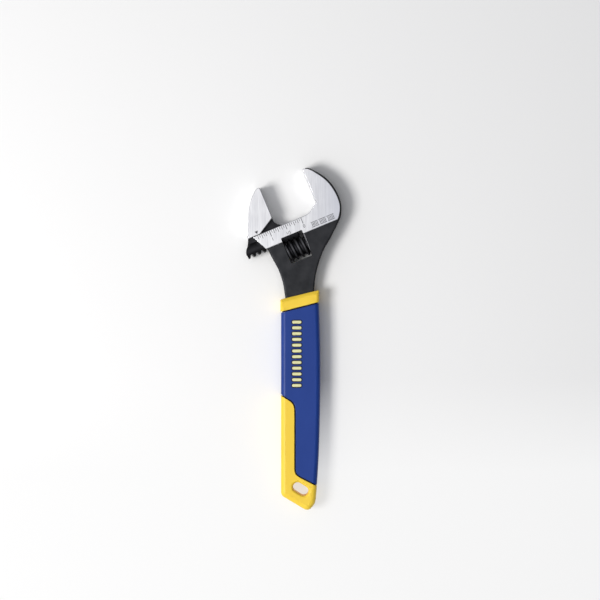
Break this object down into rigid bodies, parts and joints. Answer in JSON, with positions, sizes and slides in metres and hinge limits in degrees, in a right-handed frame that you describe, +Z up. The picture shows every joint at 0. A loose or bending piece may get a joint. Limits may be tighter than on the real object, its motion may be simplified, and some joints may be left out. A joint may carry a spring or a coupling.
{
  "type": "adjustable wrench",
  "caption": "Adjustable wrench lying flat: angled forged head with fixed and sliding jaw, thumb worm with pin and spring, and a two-colour moulded grip with a slanted hang hole.",
  "frame": {"origin": "middle of the bounding box in plan, on the underside of the grip that the wrench lies on", "axes": "+Y along the handle toward the head, +X toward the fixed jaw's side, +Z up through the thickness"},
  "size_m": [0.0714, 0.2555, 0.017],
  "materials": {
    "body": "black oxide forging, ground bright on the fixed jaw and the band along the track",
    "movable_jaw": "ground bright faces, black oxide stem and rack",
    "worm": "black oxide, satin",
    "worm_pin": "black oxide",
    "worm_spring": "bright spring wire",
    "grip_core": "fine satin, yellow, hard",
    "grip_sleeve": "fine satin, blue, soft-touch"
  },
  "bodies": {
    "frame": {"body": "body", "grip_core": "grip_core", "grip_sleeve": "grip_sleeve", "worm_pin": "worm_pin", "worm_spring": "worm_spring"},
    "jaw": {"movable_jaw": "movable_jaw"},
    "worm": {"worm": "worm"}
  },
  "joints": [
    {"name": "jaw_slide", "type": "slide", "parent": "frame", "child": "jaw", "axis": [0.9239, 0.3827, 0], "range_m": [0, 0.0346]},
    {"name": "worm_spin", "type": "hinge", "parent": "frame", "child": "worm", "pos_m": [0.00249, 0.06786, 0.0085], "axis": [0.9239, 0.3827, 0], "range_deg": [-2940, 10]}
  ],
  "couplings": [
    {"joint": "worm_spin", "follows": "jaw_slide", "rad_per_m": -1478.4}
  ]
}
